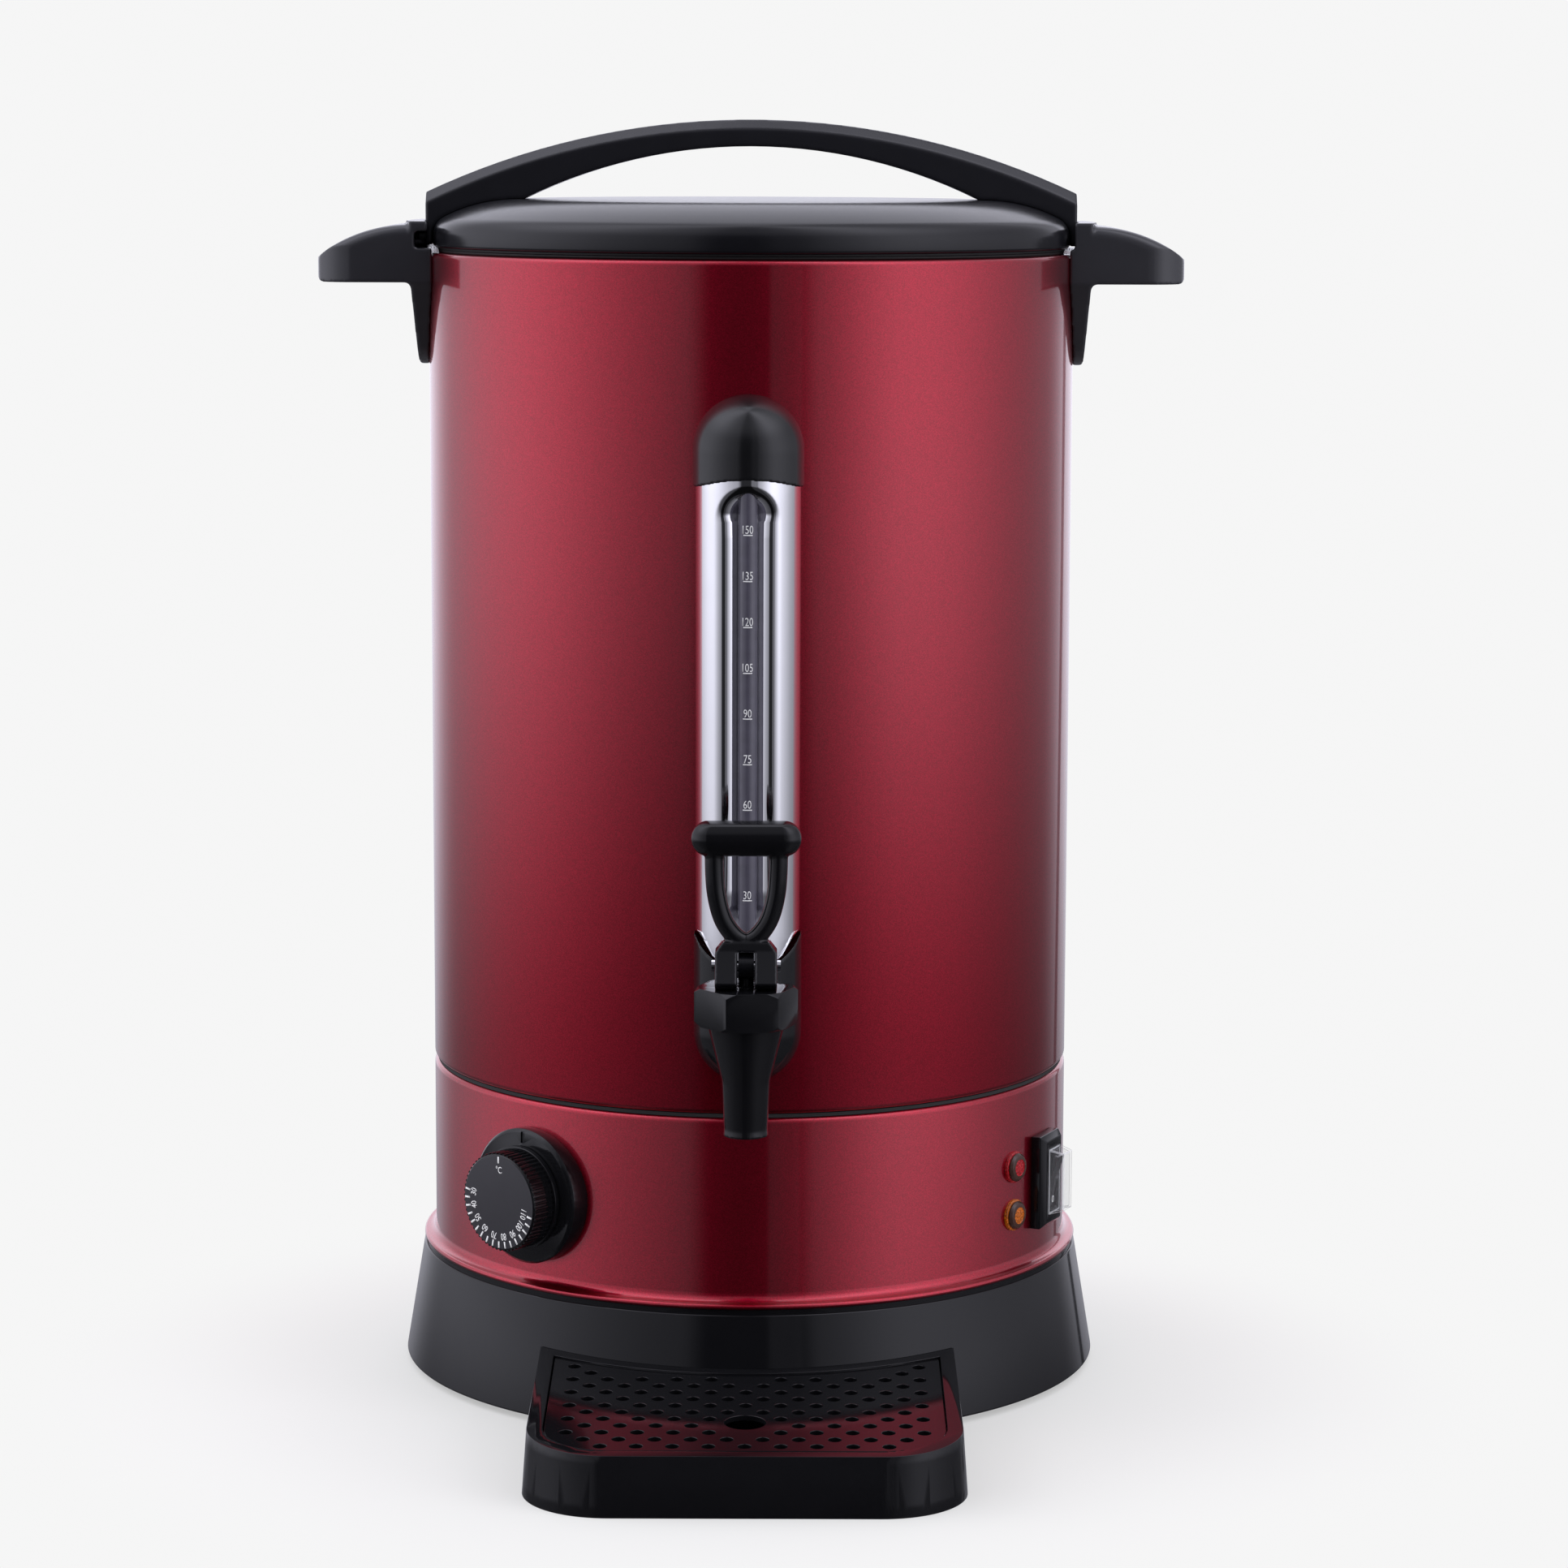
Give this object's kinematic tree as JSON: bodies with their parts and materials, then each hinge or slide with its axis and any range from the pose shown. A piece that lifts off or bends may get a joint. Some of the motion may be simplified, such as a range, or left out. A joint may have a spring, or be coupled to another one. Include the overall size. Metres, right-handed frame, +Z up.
{
  "type": "mulled wine urn",
  "caption": "Electric hot drink urn: red double-walled body on a black base, twist-lock lid, lever tap, sight gauge, thermostat knob and drip tray.",
  "frame": {"origin": "centre of the bounding box at the floor", "axes": "+Z up along the urn's axis, -Y towards the tap and the person using it, +X to the right seen from the front"},
  "size_m": [0.401, 0.4384, 0.5857],
  "materials": {
    "candy_red": "metallic red lacquer with fine flake",
    "gloss_black": "moulded black, glossy",
    "satin_black": "moulded black, satin with a fine grain",
    "vessel_steel": "brushed stainless steel",
    "zinc_steel": "zinc-plated steel",
    "cast_aluminium": "cast aluminium",
    "bright_trim": "bright polished trim",
    "clear_glass": "clear glass tube",
    "clear_boot": "clear soft plastic",
    "black_rubber": "black rubber",
    "white_silicone": "milky silicone",
    "terminal_white": "white moulded terminal",
    "lens_red": "red lens",
    "lens_amber": "amber lens"
  },
  "bodies": {
    "urn": {"outer_shell": "candy_red", "lower_housing": "candy_red", "seam_gasket": "black_rubber", "base_skirt": "gloss_black", "base_plate": "zinc_steel", "rubber_feet": "black_rubber", "base_screws": "zinc_steel", "inner_vessel": "vessel_steel", "vessel_floor": "vessel_steel", "heater_plate": "cast_aluminium", "heater_element": "zinc_steel", "thermal_cutout": "zinc_steel", "tie_rod": "zinc_steel", "tie_nut": "zinc_steel", "thermostat_body": "zinc_steel", "thermostat_bulb": "cast_aluminium", "knob_bezel": "gloss_black", "switch_surround": "gloss_black", "switch_body": "gloss_black", "switch_boot": "clear_boot", "lamp_red": "lens_red", "lamp_amber": "lens_amber", "lamp_nuts": "satin_black", "cord_gland": "gloss_black", "gland_nut": "gloss_black", "terminal_block": "terminal_white", "gauge_shield": "bright_trim", "gauge_trough": "bright_trim", "gauge_glass": "clear_glass", "gauge_cap": "gloss_black", "gauge_holder": "gloss_black", "gauge_seals": "white_silicone", "tap_body": "gloss_black", "tap_bonnet": "gloss_black", "tap_spacers": "white_silicone", "tap_backnut": "vessel_steel", "tap_spring": "bright_trim", "side_handle_left": "gloss_black", "side_handle_right": "gloss_black", "shell_screws": "zinc_steel"},
    "lid_ring": {"lid_seal": "white_silicone"},
    "lid": {"lid": "satin_black", "lid_handle": "gloss_black", "lid_screws": "zinc_steel"},
    "tap_valve": {"tap_stem": "satin_black", "tap_seat": "white_silicone", "lever_pin": "bright_trim"},
    "tap_lever": {"tap_lever": "gloss_black"},
    "thermostat_dial": {"thermostat_knob": "gloss_black", "thermostat_shaft": "zinc_steel"},
    "rocker": {"switch_rocker": "gloss_black"},
    "tray": {"drip_tray": "gloss_black"},
    "grate": {"drip_grate": "gloss_black"}
  },
  "joints": [
    {"name": "lid_lift", "type": "slide", "parent": "urn", "child": "lid_ring", "axis": [0, 0, 1], "range_m": [0, 0.25]},
    {"name": "lid_turn", "type": "hinge", "parent": "lid_ring", "child": "lid", "pos_m": [0, 0.0548, 0.54], "axis": [0, 0, 1], "range_deg": [0, 30]},
    {"name": "tap_stem_lift", "type": "slide", "parent": "urn", "child": "tap_valve", "axis": [0, 0, 1], "range_m": [0, 0.0056], "deforming": ["tap_spring"]},
    {"name": "tap_lever_swing", "type": "hinge", "parent": "tap_valve", "child": "tap_lever", "pos_m": [0, -0.1652, 0.2272], "axis": [1, 0, 0], "range_deg": [0, 40], "stiffness_Nm_per_rad": 0.6, "springref_deg": -14.32},
    {"name": "thermostat_turn", "type": "hinge", "parent": "urn", "child": "thermostat_dial", "pos_m": [-0.10738, -0.07048, 0.102], "axis": [0.6508, 0.7593, 0], "range_deg": [0, 258]},
    {"name": "rocker_tilt", "type": "hinge", "parent": "urn", "child": "rocker", "pos_m": [0.14116, -0.01042, 0.0982], "axis": [-0.4195, -0.9078, 0], "range_deg": [0, 20]},
    {"name": "tray_slide", "type": "slide", "parent": "urn", "child": "tray", "axis": [0, -1, 0], "range_m": [0, 0.15]},
    {"name": "grate_lift", "type": "slide", "parent": "tray", "child": "grate", "axis": [0, 0, 1], "range_m": [0, 0.05]}
  ],
  "couplings": [
    {"joint": "tap_stem_lift", "follows": "tap_lever_swing", "m_per_rad": 0.008}
  ]
}
